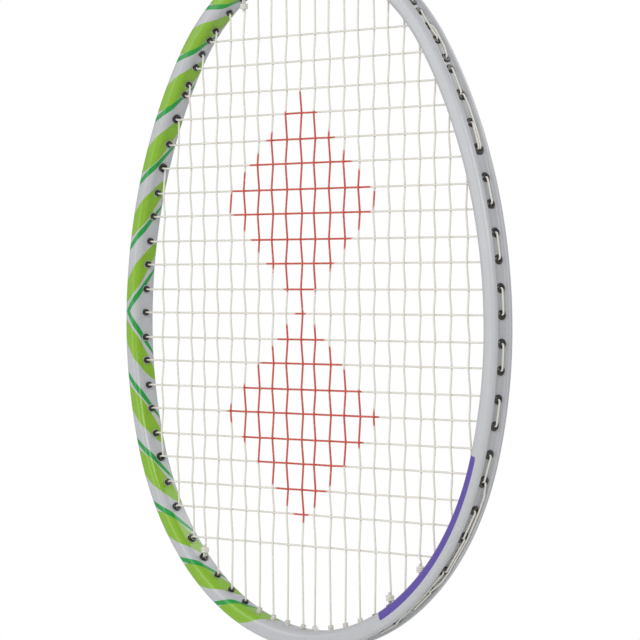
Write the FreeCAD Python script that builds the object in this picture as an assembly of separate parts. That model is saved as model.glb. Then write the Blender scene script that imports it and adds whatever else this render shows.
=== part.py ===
import FreeCAD, Part
import math
import os

# A badminton racket, in millimetres.
# The origin is the middle of the butt end and +Z runs up the shaft to the top of the head.
# The string bed lies in the plane Y = 0, and the racket's front looks along -Y.

V = FreeCAD.Vector
FRONT_TO_BACK = V(0, 1, 0)
UPWARD = V(0, 0, 1)

# Head outline
OVERALL_LENGTH = 675.0
HEAD_WIDTH = 203.4  # over the outside of the hoop
HEAD_LENGTH = 250.2  # over the outside of the hoop
FOOT_TO_WIDEST = 115.5  # from the hoop's lowest point up to its widest line
TOP_ARC_TURN = 54.0  # degrees from the top to the end of the top arc
FOOT_ARC_TURN = 72.0  # degrees from the foot to the end of the foot arc

# Section of the hoop: width lies in the plane of the strings, depth stands across it
HOOP_WIDTH = 6.6
HOOP_DEPTH = 9.4
HOOP_WALL = 1.0
INNER_CORNER = 2.2
OUTER_CORNER = 1.7
GROOVE_DEPTH = 1.4
GROOVE_SIDE = 0.5  # how far each side of the groove leans outward
GROOVE_ROUND = 0.3
LIP_ROUNDED = 0.97  # share of the flat beside the groove that the outer corner may take at most
HEAD_TO_GROOVE = 0.1  # between the widest grommet head and the side of the groove

# Strings
STRING_DIAMETER = 0.7
MAIN_COUNT = 22
CROSS_COUNT = 21
MAIN_TO_HOOP = 10.6  # from the outermost main to the inside of the hoop at its widest line
OUTER_MAIN_EXTRA = 1.3  # by which the outermost gaps between mains are wider
CROSS_BELOW_TOP = 24.0  # from the inside of the hoop down to the first cross
CROSS_ABOVE_FOOT = 30.0  # from the inside of the hoop up to the last cross
FIRST_CROSS_EXTRA = 0.6  # by which each of the first two gaps between crosses is wider
LAST_CROSS_EXTRA = 2.2
CROSS_PAIR_SHIFT = 0.15  # neighbours that share a hairpin lie this much nearer to each other
WEAVE_CLEARANCE = 0.04  # between two strings where they cross
WEAVE_BEND = 6.0  # bend radius of a string over another
HOLE_BEND = 0.8  # bend radius at the mouth of a grommet
HAIRPIN_BEND = 4.0  # bend radius of a string shifting along the groove
LONGEST_BEND_SHARE = 0.45  # of a straight run that a bend at one of its ends may take
PAIR_CLEARANCE = 0.14  # between two strings in one grommet
STRING_CLEARANCE = 0.03  # between a string and the grommet head that it lies on
LANE_CLEARANCE = 0.1  # between two strings side by side in the groove

# Grommets
BORE_CLEARANCE = 0.25  # around a single string, and around a pair
GROMMET_WALL = 0.6
CLEAR_WALL = 0.35
HEAD_RIM = 0.5  # by which a head stands out past its barrel
HEAD_HEIGHT = 0.6
HEAD_CHAMFER = 0.25
BARREL_OUT = 0.9  # by which a black barrel shows inside the hoop
CLEAR_BARREL_OUT = 1.8
HOLE_CLEARANCE = 0.05
TURN_CLEARANCE = 0.06  # between the barrel's end and a string that turns over it
THROAT_EXIT = 8.6  # half the distance between the exits of the two middle mains at the foot
HEAD_GAP = 0.5  # between the heads of two neighbours; a main with less room shares a hole
FIRST_CLEAR_MAIN = 8  # mains from here to the middle have clear grommets
# Where the strings are tied: the mains whose holes take an end, if they share no hole
MAIN_TIES = (4, 19)
CROSS_TIE_TOP = 7
CROSS_TIE_FOOT = 17

# Knots
KNOT_FROM_HOOP = 2.0  # from the turn at the grommet to the middle of the knot
KNOT_COILS = 3
KNOT_OVERLAP = 0.05  # by which each coil is pressed into the next
TAIL_LENGTH = 2.0  # string past the middle of the knot

# Shaft and its joint to the hoop
SHAFT_DIAMETER = 7.0
SHAFT_WALL = 0.8
SHAFT_IN_HANDLE = 95.0
SHAFT_IN_JOINT = 22.0
SHAFT_CLEARANCE = 0.05
JOINT_LENGTH = 38.0
JOINT_TOP_WIDTH = 12.4
JOINT_SETBACK = 0.1  # from the hoop's front and back faces to the neck's
JOINT_TOP_DEPTH = HOOP_DEPTH - 2 * JOINT_SETBACK
JOINT_FOOT_WALL = 0.9
JOINT_SLIM_LENGTH = 15.0  # the neck keeps close to the shaft's size this far up
JOINT_SLIM_GROWTH = 0.3  # by which it widens over that length
CORE_STEM_IN_SHAFT = 18.0
CORE_BAR_TURN = 9.0  # degrees that the core's bar follows the hoop to each side
CORE_CLEARANCE = 0.1
LIP_TO_CORE = 0.05  # at least, between the groove's lips and the core that passes between them

# Handle
CORE_LENGTH = 176.0
CORE_WIDTH = 25.6  # across the flats, along X
CORE_DEPTH = 23.0  # across the flats, along Y
CORE_BEVEL = 6.7  # how far each bevel cuts the corner back along a flat
FLARE_HEIGHT = 24.0
FLARE_OUT = 2.2  # how far each flat stands out at the butt
SPIGOT_DIAMETER = 18.0
SPIGOT_LENGTH = 12.0
SPIGOT_CLEARANCE = 0.1
BUTT_THICKNESS = 2.6
BUTT_RIM = 0.8  # by which the butt plate stands out past the core
BUTT_EDGE_RADIUS = 1.0
BUTT_RECESS_DEPTH = 0.8
BUTT_RECESS_DIAMETER = 16.5
BUTT_STEM_DIAMETER = 9.0
BUTT_STEM_LENGTH = 7.0
CONE_LENGTH = 34.0
CONE_BASE_DIAMETER = 27.6
CONE_LIP = 5.0
CONE_TIP_WALL = 1.3
CONE_BULGE = 0.6  # by which its side stands out from a straight taper
GRIP_THICKNESS = 1.7
GRIP_BELOW_CONE = 0.3
GRIP_START = 3.2
TAPE_WIDTH = 14.0
TAPE_THICKNESS = 0.3
TAPE_BELOW_GRIP_END = 1.0
TACK_HEAD_DIAMETER = 3.2
TACK_HEAD_HEIGHT = 0.5
TACK_SHANK_DIAMETER = 1.2
TACK_LENGTH = 8.0
TACK_HEIGHT = 14.0
TACK_SPACING = 7.0

# Worked out from the above
HALF_WIDTH = HOOP_WIDTH / 2
HALF_DEPTH = HOOP_DEPTH / 2
FLOOR = HALF_WIDTH - GROOVE_DEPTH  # the groove's floor, outward from the hoop's middle line
STRING_RADIUS = STRING_DIAMETER / 2
WEAVE_RISE = (STRING_DIAMETER + WEAVE_CLEARANCE) / 2
PAIR_OFFSET = (STRING_DIAMETER + PAIR_CLEARANCE) / 2
LANE = STRING_DIAMETER + LANE_CLEARANCE
HAIRPIN_OUT = FLOOR + HEAD_HEIGHT + STRING_RADIUS + STRING_CLEARANCE
SINGLE_BORE = STRING_RADIUS + BORE_CLEARANCE
PAIR_BORE = PAIR_OFFSET + STRING_RADIUS + BORE_CLEARANCE
SINGLE_HEAD = SINGLE_BORE + GROMMET_WALL + HEAD_RIM
WIDEST_HEAD = PAIR_BORE + GROMMET_WALL + HEAD_RIM
KNOT_PITCH = STRING_DIAMETER - KNOT_OVERLAP
GROOVE_HALF = WIDEST_HEAD + HEAD_TO_GROOVE
TURN_OUT = HALF_WIDTH + BARREL_OUT + STRING_RADIUS + TURN_CLEARANCE
HOOP_TOP = OVERALL_LENGTH - HALF_WIDTH
HOOP_FOOT = OVERALL_LENGTH - HEAD_LENGTH + HALF_WIDTH
WIDEST = OVERALL_LENGTH - HEAD_LENGTH + FOOT_TO_WIDEST
SHAFT_RADIUS = SHAFT_DIAMETER / 2
SHAFT_TOP = HOOP_FOOT - HALF_WIDTH - JOINT_LENGTH + SHAFT_IN_JOINT
SHAFT_FOOT = BUTT_THICKNESS + CORE_LENGTH + SPIGOT_LENGTH - SHAFT_IN_HANDLE
CORE_TOP = BUTT_THICKNESS + CORE_LENGTH
STEM_RADIUS = SHAFT_RADIUS - SHAFT_WALL - SHAFT_CLEARANCE
THROAT_RADIUS = min(STEM_RADIUS, GROOVE_HALF + GROOVE_SIDE - LIP_TO_CORE)


# ---------------------------------------------------------------- the hoop's middle line


def arc_pair(width, height, turn):
    """Radii of the two tangent arcs from the axis (with this turn) to the widest line."""
    sine = math.sin(math.radians(turn))
    cosine = math.cos(math.radians(turn))
    scale = sine + cosine - 1
    near_axis = (width * cosine - height * (1 - sine)) / scale
    near_side = (height * sine - width * (1 - cosine)) / scale
    return near_axis, near_side


def hoop_arcs():
    """The right half, from the top: (radius, centre x, centre z, first turn, last turn)."""
    width = HEAD_WIDTH / 2 - HALF_WIDTH
    top, upper = arc_pair(width, HOOP_TOP - WIDEST, TOP_ARC_TURN)
    foot, lower = arc_pair(width, WIDEST - HOOP_FOOT, FOOT_ARC_TURN)
    return [
        (top, 0.0, HOOP_TOP - top, 0.0, TOP_ARC_TURN),
        (upper, width - upper, WIDEST, TOP_ARC_TURN, 90.0),
        (lower, width - lower, WIDEST, 90.0, 180.0 - FOOT_ARC_TURN),
        (foot, 0.0, HOOP_FOOT + foot, 180.0 - FOOT_ARC_TURN, 180.0),
    ]


ARCS = hoop_arcs()


def outward(turn):
    """The outward direction at a turn from the top, positive to the right."""
    angle = math.radians(turn)
    return V(math.sin(angle), 0, math.cos(angle))


def hoop_point(turn, out=0.0, across=0.0):
    """A point this far out from the middle line and this far back from the string plane."""
    side = -1.0 if turn < 0 else 1.0
    for radius, centre_x, centre_z, _, last in ARCS:
        if abs(turn) <= last + 1e-9:
            break
    return V(side * centre_x, across, centre_z) + outward(turn) * (radius + out)


def turn_at_height(height, out):
    """Turn on the right half where the line at this distance from the middle line is this high."""
    for radius, _, centre_z, first, last in ARCS:
        cosine = (height - centre_z) / (radius + out)
        if abs(cosine) <= 1:
            turn = math.degrees(math.acos(cosine))
            if first - 1e-6 <= turn <= last + 1e-6:
                return turn
    raise ValueError("no point of the hoop is %.1f mm high" % height)


def turn_at_width(width, out, at_top):
    """The same for a distance to the right of the axis, on the top or the foot half."""
    for radius, centre_x, _, first, last in ARCS:
        sine = (width - centre_x) / (radius + out)
        if abs(sine) <= 1:
            turn = math.degrees(math.asin(sine))
            if not at_top:
                turn = 180.0 - turn
            if first - 1e-6 <= turn <= last + 1e-6:
                return turn
    raise ValueError("no point of the hoop is %.1f mm from the axis" % width)


# ---------------------------------------------------------------- sweeping


def rounded_profile(corners, place):
    """Edges of a closed outline through corners (u, v, radius); place(u, v) gives the point."""
    points = [place(u, v) for u, v, _ in corners]
    edges = []
    ends = []
    for index, (_, _, radius) in enumerate(corners):
        corner = points[index]
        before = (corner - points[index - 1]).normalize()
        after = (points[(index + 1) % len(points)] - corner).normalize()
        half = before.getAngle(after) / 2
        reach = radius * math.tan(half)
        start = corner - before * reach
        end = corner + after * reach
        middle = corner + (after - before).normalize() * (radius / math.cos(half) - radius)
        edges.append(Part.Arc(start, middle, end).toShape())
        ends.append((start, end))
    for index, (_, end) in enumerate(ends):
        start = ends[(index + 1) % len(ends)][0]
        edges.append(Part.LineSegment(end, start).toShape())
    return Part.Wire(Part.__sortEdges__(edges)).Edges


def carry(profile, moves, closed):
    """Carry a profile along runs and arcs and close the skin that it leaves into a solid."""
    faces = []
    first = profile
    for move in moves:
        moved = []
        for edge in profile:
            if len(move) == 1:
                faces.append(edge.extrude(move[0]))
                moved.append(edge.translated(move[0]))
            else:
                centre, axis, angle = move
                faces.append(edge.revolve(centre, axis, angle))
                moved.append(edge.rotated(centre, axis, angle))
        profile = moved
    if not closed:
        faces.append(Part.Face(Part.Wire(first)))
        faces.append(Part.Face(Part.Wire(profile)))
    skin = Part.makeCompound(faces)
    skin.sewShape(1e-5)
    solid = Part.makeSolid(skin.Shells[0])
    if solid.Volume < 0:
        solid.reverse()
    return solid


def hoop_ring(corners):
    """A closed ring of the given section (u outward, v to the back) along the middle line."""
    start = -TOP_ARC_TURN
    top, upper, lower, foot = ARCS
    moves = []
    for radius, centre_x, centre_z, turn in (
        (top[0], 0.0, top[2], 2 * TOP_ARC_TURN),
        (upper[0], upper[1], upper[2], 90.0 - TOP_ARC_TURN),
        (lower[0], lower[1], lower[2], 90.0 - FOOT_ARC_TURN),
        (foot[0], 0.0, foot[2], 2 * FOOT_ARC_TURN),
        (lower[0], -lower[1], lower[2], 90.0 - FOOT_ARC_TURN),
        (upper[0], -upper[1], upper[2], 90.0 - TOP_ARC_TURN),
    ):
        moves.append((V(centre_x, 0, centre_z), FRONT_TO_BACK, turn))
    profile = rounded_profile(corners, lambda u, v: hoop_point(start, u, v))
    return carry(profile, moves, closed=True)


def route(corners):
    """Moves along straight runs through corners (point, bend radius), joined by tangent arcs."""
    moves = []
    here = corners[0][0]
    for index in range(1, len(corners) - 1):
        corner, bend = corners[index]
        before = corner - corners[index - 1][0]
        after = corners[index + 1][0] - corner
        shorter = min(before.Length, after.Length)
        before.normalize()
        after.normalize()
        turn = before.getAngle(after)
        if turn < 1e-4:
            continue
        reach = min(bend * math.tan(turn / 2), LONGEST_BEND_SHARE * shorter)
        radius = reach / math.tan(turn / 2)
        start = corner - before * reach
        inward = (after - before * before.dot(after)).normalize()
        moves.append((start - here,))
        moves.append((start + inward * radius, before.cross(after), math.degrees(turn)))
        here = corner + after * reach
    moves.append((corners[-1][0] - here,))
    return moves


def string_solid(corners):
    first = corners[0][0]
    ring = Part.Circle(first, corners[1][0] - first, STRING_RADIUS).toShape()
    return carry([ring], route(corners), closed=False)


# ---------------------------------------------------------------- the holes of the hoop


def main_gap():
    span = HEAD_WIDTH - 2 * HOOP_WIDTH - 2 * MAIN_TO_HOOP - 2 * OUTER_MAIN_EXTRA
    return span / (MAIN_COUNT - 1)


def main_place(number):
    """Distance of a main from the axis, positive to the right."""
    place = (number - (MAIN_COUNT + 1) / 2) * main_gap()
    if number == 1:
        place -= OUTER_MAIN_EXTRA
    if number == MAIN_COUNT:
        place += OUTER_MAIN_EXTRA
    return place


def cross_height(number):
    first = OVERALL_LENGTH - HOOP_WIDTH - CROSS_BELOW_TOP
    last = OVERALL_LENGTH - HEAD_LENGTH + HOOP_WIDTH + CROSS_ABOVE_FOOT
    gap = (first - last - 2 * FIRST_CROSS_EXTRA - LAST_CROSS_EXTRA) / (CROSS_COUNT - 1)
    height = first - (number - 1) * gap - FIRST_CROSS_EXTRA * min(number - 1, 2)
    if number == CROSS_COUNT:
        return height - LAST_CROSS_EXTRA
    if 1 < number < CROSS_COUNT - 1:
        height += CROSS_PAIR_SHIFT if number % 2 == 0 else -CROSS_PAIR_SHIFT
    return height


class Hole:
    """A drilled hole: where its two ends are on the hoop, and the kind of grommet in it."""

    def __init__(self, turn, kind, exit_turn=None):
        self.kind = kind
        self.turn = turn
        self.exit_turn = turn if exit_turn is None else exit_turn
        self.inner = hoop_point(turn, -HALF_WIDTH)
        self.outer = hoop_point(self.exit_turn, FLOOR)
        self.axis = (self.outer - self.inner).normalize()
        lean = self.axis.getAngle(outward(self.exit_turn))
        self.mouth = self.outer + self.axis * ((HAIRPIN_OUT - FLOOR) / math.cos(lean))

    def string_turn(self, across):
        """Where a string in this hole starts across the head."""
        return self.inner - self.axis * (TURN_OUT - HALF_WIDTH) + V(0, across, 0)

    def hairpin(self, across):
        """Where a string in this hole turns into the groove."""
        return self.mouth + V(0, across, 0)


def make_holes():
    """Every hole, by the strings that use it."""
    holes = {}
    for number in range(1, CROSS_COUNT + 1):
        turn = turn_at_height(cross_height(number), -TURN_OUT)
        for side in (-1, 1):
            holes["cross", number, side] = Hole(side * turn, "cross")
    for number in range(1, MAIN_COUNT + 1):
        side = -1 if main_place(number) < 0 else 1
        from_edge = min(number, MAIN_COUNT + 1 - number)
        for end in ("top", "foot"):
            hole = own_hole(number, end, side, from_edge)
            crosses = [holes["cross", cross, side] for cross in range(1, CROSS_COUNT + 1)]
            near = min(crosses, key=lambda cross: (cross.outer - hole.outer).Length)
            apart = (near.outer - hole.outer).Length
            if from_edge == 1 or apart < 2 * SINGLE_HEAD + HEAD_GAP:
                hole = near
                hole.kind = "shared"
            holes["main", number, end] = hole
    ties = {
        "main start": (own_main(holes, MAIN_TIES[0], "foot"), "foot"),
        "main end": (own_main(holes, MAIN_TIES[1], "foot"), "foot"),
        "cross start": (own_main(holes, CROSS_TIE_TOP, "top"), "top"),
        "cross end": (own_main(holes, CROSS_TIE_FOOT, "foot"), "foot"),
    }
    for number, end in ties.values():
        holes["main", number, end].kind = "tie_off"
    return holes, ties


def own_main(holes, number, end):
    """This main, or where it shares its hole the next one towards the middle that doesn't."""
    inward = 1 if number <= MAIN_COUNT / 2 else -1
    while holes["main", number, end].kind == "shared":
        number += inward
    return number


def own_hole(number, end, side, from_edge):
    """A hole that only one main uses; the two beside the throat lean away from it."""
    width = abs(main_place(number))
    turn = side * turn_at_width(width, -TURN_OUT, end == "top")
    if from_edge < FIRST_CLEAR_MAIN:
        return Hole(turn, "main_" + end)
    if from_edge == MAIN_COUNT // 2 and end == "foot":
        return Hole(turn, "clear_foot", side * turn_at_width(THROAT_EXIT, FLOOR, False))
    return Hole(turn, "clear_" + end)


HOLES, TIES = make_holes()


def all_holes():
    """Each hole once, in order round the hoop."""
    different = {id(hole): hole for hole in HOLES.values()}
    return sorted(different.values(), key=lambda hole: hole.exit_turn)


def grommet_radii(kind):
    """Radii of the bore, the barrel and the head, and how far the barrel shows inside."""
    if kind in ("shared", "tie_off"):
        barrel = PAIR_BORE + GROMMET_WALL
        return PAIR_BORE, barrel, barrel + HEAD_RIM, BARREL_OUT
    if kind.startswith("clear"):
        barrel = SINGLE_BORE + CLEAR_WALL
        return SINGLE_BORE, barrel, barrel + HEAD_RIM, CLEAR_BARREL_OUT
    barrel = SINGLE_BORE + GROMMET_WALL
    return SINGLE_BORE, barrel, barrel + HEAD_RIM, BARREL_OUT


# ---------------------------------------------------------------- head


def outer_corner():
    """Radius of the hoop's outer corners, held to the flat that the groove leaves beside it."""
    rounded = GROOVE_ROUND * math.tan(math.atan2(GROOVE_DEPTH, GROOVE_SIDE) / 2)
    flat = HALF_DEPTH - GROOVE_HALF - GROOVE_SIDE - rounded
    return min(OUTER_CORNER, LIP_ROUNDED * flat)


def hoop_section():
    """Corners of the hoop's outer section: rounded, with the string groove on its outside."""
    lean = GROOVE_HALF + GROOVE_SIDE
    half = [
        (-HALF_WIDTH, HALF_DEPTH, INNER_CORNER),
        (HALF_WIDTH, HALF_DEPTH, outer_corner()),
        (HALF_WIDTH, lean, GROOVE_ROUND),
        (FLOOR, GROOVE_HALF, GROOVE_ROUND),
    ]
    return half + [(u, -v, radius) for u, v, radius in reversed(half)]


def cavity_section():
    depth = HALF_DEPTH - HOOP_WALL
    inner = (HALF_WIDTH - HOOP_WALL, max(INNER_CORNER - HOOP_WALL, GROOVE_ROUND))
    outer = (FLOOR - HOOP_WALL, max(outer_corner() - HOOP_WALL, GROOVE_ROUND))
    half = [(-inner[0], depth, inner[1]), (outer[0], depth, outer[1])]
    return half + [(u, -v, radius) for u, v, radius in reversed(half)]


def drill(hole, extra):
    """The cylinder that a hole takes out of the hoop."""
    radius = grommet_radii(hole.kind)[1] + extra
    past = 2 * HALF_WIDTH
    length = (hole.outer - hole.inner).Length + 2 * past
    return Part.makeCylinder(radius, length, hole.inner - hole.axis * past, hole.axis)


def head_frame(outside, cavity):
    drills = [drill(hole, HOLE_CLEARANCE) for hole in all_holes()]
    throat = Part.makeCylinder(
        THROAT_RADIUS + CORE_CLEARANCE,
        HALF_WIDTH,
        V(0, 0, HOOP_FOOT - HALF_WIDTH),
        UPWARD,
    )
    return outside.cut(cavity).cut(Part.makeCompound(drills + [throat]))


def grommet(hole):
    """A flanged sleeve: the head lies in the groove, the barrel goes through both walls."""
    bore, barrel, head, inside = grommet_radii(hole.kind)
    along = (hole.outer - hole.inner).Length + inside
    start = hole.outer - hole.axis * along
    sleeve = Part.makeCylinder(barrel, along + HEAD_HEIGHT / 2, start, hole.axis)
    upright = outward(hole.exit_turn)
    flange = Part.makeCylinder(head, HEAD_HEIGHT - HEAD_CHAMFER, hole.outer, upright)
    dome = Part.makeCone(
        head,
        head - HEAD_CHAMFER,
        HEAD_CHAMFER,
        hole.outer + upright * (HEAD_HEIGHT - HEAD_CHAMFER),
        upright,
    )
    past = 2.0
    hollow = Part.makeCylinder(bore, along + 2 * past, start - hole.axis * past, hole.axis)
    return sleeve.fuse([flange, dome]).cut(hollow)


def grommets(kinds, side=0):
    """All grommets of some kinds, on one side of the head or on both."""
    chosen = [
        hole for hole in all_holes() if hole.kind in kinds and hole.exit_turn * side >= 0
    ]
    return Part.makeCompound([grommet(hole) for hole in chosen])


# ---------------------------------------------------------------- strings


def line_of(string, number):
    """The two turns of a string line at its holes, in the plane of the strings."""
    if string == "main":
        ends = (HOLES["main", number, "foot"], HOLES["main", number, "top"])
    else:
        ends = (HOLES["cross", number, -1], HOLES["cross", number, 1])
    return [hole.string_turn(0) for hole in ends]


def tie_hole(name):
    """The hole that takes an end of a string, with the line of the main that it is tied to."""
    number, end = TIES[name]
    hole = HOLES["main", number, end]
    hole.main_line = line_of("main", number)
    return hole


def crossing(main, cross):
    """Where two string lines cross, or None where one ends before it."""
    low, high = line_of("main", main)
    left, right = line_of("cross", cross)
    along_main = high - low
    along_cross = right - left
    scale = along_main.x * along_cross.z - along_main.z * along_cross.x
    offset = left - low
    share = (offset.x * along_cross.z - offset.z * along_cross.x) / scale
    point = low + along_main * share
    nearest = min((point - end).Length for end in (low, high, left, right))
    inside = 0 < share < 1 and left.x < point.x < right.x
    return point if inside and nearest > 2 * STRING_DIAMETER else None


def weave_corner(point, side, spacing):
    """The corner of the route over a crossing, so that the rounded line passes at WEAVE_RISE."""
    rise = WEAVE_RISE
    for _ in range(4):
        slope = 2 * rise / spacing
        rise = WEAVE_RISE + WEAVE_BEND * slope * slope / 2
    return point + V(0, side * rise, 0), WEAVE_BEND


def across_head(string, number, over_front, start_across, end_across, forward):
    """Corners of one pass over the head, from hole to hole."""
    first, last = line_of(string, number)
    crossings = []
    others = CROSS_COUNT if string == "main" else MAIN_COUNT
    for other in range(1, others + 1):
        pair = (number, other) if string == "main" else (other, number)
        point = crossing(*pair)
        if point is not None:
            side = over_front if (number + other) % 2 == 0 else -over_front
            crossings.append((point, side))
    crossings.sort(key=lambda item: (item[0] - first).Length)
    spacing = (crossings[-1][0] - crossings[0][0]).Length / (len(crossings) - 1)
    corners = [weave_corner(point, side, spacing) for point, side in crossings]
    if not forward:
        corners.reverse()
        first, last = last, first
    start = (first + V(0, start_across, 0), HOLE_BEND)
    end = (last + V(0, end_across, 0), HOLE_BEND)
    return [start] + corners + [end]


def groove_run(start, end, start_across, end_across, lane):
    """Corners in the groove between two holes; it keeps to its lane past other holes."""
    first, last = start.exit_turn, end.exit_turn
    passed = [
        hole.exit_turn
        for hole in all_holes()
        if min(first, last) + 1e-6 < hole.exit_turn < max(first, last) - 1e-6
    ]
    corners = [(start.hairpin(start_across), HOLE_BEND)]
    if passed:
        if first > last:
            passed.reverse()
        turns = [first + (passed[0] - first) / 2] + passed + [last + (passed[-1] - last) / 2]
        corners += [(hoop_point(turn, HAIRPIN_OUT, lane), HAIRPIN_BEND) for turn in turns]
    return corners + [(end.hairpin(end_across), HOLE_BEND)]


def tied_end(hole, across):
    """Corners of a string end that comes in through a hole and lies along its main."""
    turn = hole.string_turn(across)
    low, high = hole.main_line
    other = high if (low - turn).Length < (high - turn).Length else low
    inward = (other - V(turn.x, 0, turn.z)).normalize()
    end = turn + inward * (KNOT_FROM_HOOP + TAIL_LENGTH)
    return [(turn, HOLE_BEND), (end, HOLE_BEND)]


def held_straight(corners):
    """A main keeps beside the string end that is knotted to it until past the knot."""
    run = corners[1][0] - corners[0][0]
    inward = V(run.x, 0, run.z).normalize()
    past = corners[0][0] + inward * (KNOT_FROM_HOOP + TAIL_LENGTH)
    return [corners[0], (past, WEAVE_BEND)] + corners[1:]


def place_in(hole):
    """How far back a main runs inside its hole: two strings in one grommet lie side by side."""
    return PAIR_OFFSET if hole.kind in ("shared", "tie_off") else 0.0


def main_route():
    """The whole main string: knot, outside run, the mains in turn, outside run, knot."""
    first_tie = tie_hole("main start")
    last_tie = tie_hole("main end")
    corners = tied_end(first_tie, -PAIR_OFFSET)[::-1]
    entry = HOLES["main", 1, "foot"]
    corners += groove_run(first_tie, entry, -PAIR_OFFSET, place_in(entry), 2 * LANE)
    for number in range(1, MAIN_COUNT + 1):
        upward = number % 2 == 1
        foot = HOLES["main", number, "foot"]
        top = HOLES["main", number, "top"]
        ends = (foot, top) if upward else (top, foot)
        places = [place_in(hole) for hole in ends]
        across = across_head("main", number, -1, places[0], places[1], upward)
        if ends[0].kind == "tie_off":
            across = held_straight(across)
        if ends[1].kind == "tie_off":
            across = held_straight(across[::-1])[::-1]
        corners += across
        if number < MAIN_COUNT:
            following = HOLES["main", number + 1, "top" if upward else "foot"]
            corners += groove_run(ends[1], following, places[1], place_in(following), LANE)
    leaving = HOLES["main", MAIN_COUNT, "foot"]
    corners += groove_run(leaving, last_tie, place_in(leaving), -PAIR_OFFSET, 2 * LANE)
    return corners + tied_end(last_tie, -PAIR_OFFSET)


def cross_route():
    """The whole cross string, from its knot beside the top to its knot beside the foot."""
    first_tie = tie_hole("cross start")
    last_tie = tie_hole("cross end")
    corners = tied_end(first_tie, -PAIR_OFFSET)[::-1]
    entry = HOLES["cross", 1, -1]
    corners += groove_run(first_tie, entry, -PAIR_OFFSET, -place_in(entry), -LANE)
    for number in range(1, CROSS_COUNT + 1):
        rightward = number % 2 == 1
        sides = (-1, 1) if rightward else (1, -1)
        ends = [HOLES["cross", number, side] for side in sides]
        places = [-place_in(hole) for hole in ends]
        corners += across_head("cross", number, 1, places[0], places[1], rightward)
        if number < CROSS_COUNT:
            following = HOLES["cross", number + 1, sides[1]]
            corners += groove_run(ends[1], following, places[1], -place_in(following), -LANE)
    leaving = HOLES["cross", CROSS_COUNT, 1]
    corners += groove_run(leaving, last_tie, -place_in(leaving), -PAIR_OFFSET, -2 * LANE)
    return corners + tied_end(last_tie, -PAIR_OFFSET)


def knot(hole):
    """Coils of string drawn tight round a main and the end beside it."""
    turn = hole.string_turn(0)
    low, high = hole.main_line
    inward = (high if (low - turn).Length < (high - turn).Length else low) - turn
    inward.normalize()
    middle = turn + inward * KNOT_FROM_HOOP
    around = PAIR_OFFSET + STRING_DIAMETER + STRING_CLEARANCE
    coils = []
    for index in range(KNOT_COILS):
        shift = (index - (KNOT_COILS - 1) / 2) * KNOT_PITCH
        coils.append(Part.makeTorus(around, STRING_RADIUS, middle + inward * shift, inward))
    return coils[0].fuse(coils[1:])


# ---------------------------------------------------------------- shaft and its joint


def ellipse_ring(width, depth, height):
    """A level ellipse round the shaft's axis, wider along X than along Y."""
    return Part.Wire(Part.Ellipse(V(0, 0, height), width / 2, depth / 2).toShape())


def t_joint(outside):
    """Moulded neck between shaft and hoop; its top is hollowed to sit on the hoop."""
    foot = HOOP_FOOT - HALF_WIDTH - JOINT_LENGTH
    lower = SHAFT_DIAMETER + 2 * JOINT_FOOT_WALL
    rings = [
        ellipse_ring(lower, lower, foot),
        ellipse_ring(lower + JOINT_SLIM_GROWTH, lower, foot + JOINT_SLIM_LENGTH),
        ellipse_ring(JOINT_TOP_WIDTH, JOINT_TOP_DEPTH, foot + JOINT_LENGTH),
        ellipse_ring(JOINT_TOP_WIDTH, JOINT_TOP_DEPTH, HOOP_FOOT),
    ]
    neck = Part.makeLoft(rings, True, False)
    socket = Part.makeCylinder(SHAFT_RADIUS + SHAFT_CLEARANCE, SHAFT_IN_JOINT, V(0, 0, foot), UPWARD)
    throat = Part.makeCylinder(
        THROAT_RADIUS + CORE_CLEARANCE, JOINT_LENGTH + HALF_WIDTH, V(0, 0, foot), UPWARD
    )
    return neck.cut(outside).cut(socket).cut(throat)


def t_joint_core(cavity):
    """T-shaped core: its stem plugs the shaft and its bar lies inside the hoop."""
    start = SHAFT_TOP - CORE_STEM_IN_SHAFT
    plug = Part.makeCylinder(STEM_RADIUS, CORE_STEM_IN_SHAFT, V(0, 0, start), UPWARD)
    throat = Part.makeCylinder(THROAT_RADIUS, HOOP_FOOT - SHAFT_TOP, V(0, 0, SHAFT_TOP), UPWARD)
    stem = plug.fuse(throat).removeSplitter()
    corners = [
        (u + (CORE_CLEARANCE if u < 0 else -CORE_CLEARANCE), v - math.copysign(CORE_CLEARANCE, v), radius)
        for u, v, radius in cavity_section()
    ]
    foot = ARCS[3]
    profile = rounded_profile(corners, lambda u, v: hoop_point(180.0 - CORE_BAR_TURN, u, v))
    bar = carry(profile, [(V(0, 0, foot[2]), FRONT_TO_BACK, 2 * CORE_BAR_TURN)], closed=False)
    near = [hole for hole in all_holes() if abs(hole.turn) > 180.0 - 2 * CORE_BAR_TURN]
    drills = [drill(hole, HOLE_CLEARANCE + CORE_CLEARANCE) for hole in near]
    core = stem.fuse(bar)
    return core.cut(Part.makeCompound(drills))


def shaft():
    length = SHAFT_TOP - SHAFT_FOOT
    outside = Part.makeCylinder(SHAFT_RADIUS, length, V(0, 0, SHAFT_FOOT), UPWARD)
    inside = Part.makeCylinder(SHAFT_RADIUS - SHAFT_WALL, length, V(0, 0, SHAFT_FOOT), UPWARD)
    return outside.cut(inside)


# ---------------------------------------------------------------- handle


def octagon(out, height):
    """The handle's bevelled outline, this far out from the core's flats."""
    half_x = CORE_WIDTH / 2 + out
    half_y = CORE_DEPTH / 2 + out
    cut = CORE_BEVEL + out * (2 - math.sqrt(2))
    quarter = [(half_x, half_y - cut), (half_x - cut, half_y)]
    points = [V(x, y, height) for x, y in quarter]
    points += [V(-x, y, height) for x, y in reversed(quarter)]
    points += [V(-x, -y, height) for x, y in quarter]
    points += [V(x, -y, height) for x, y in reversed(quarter)]
    return Part.makePolygon(points + [points[0]])


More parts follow.
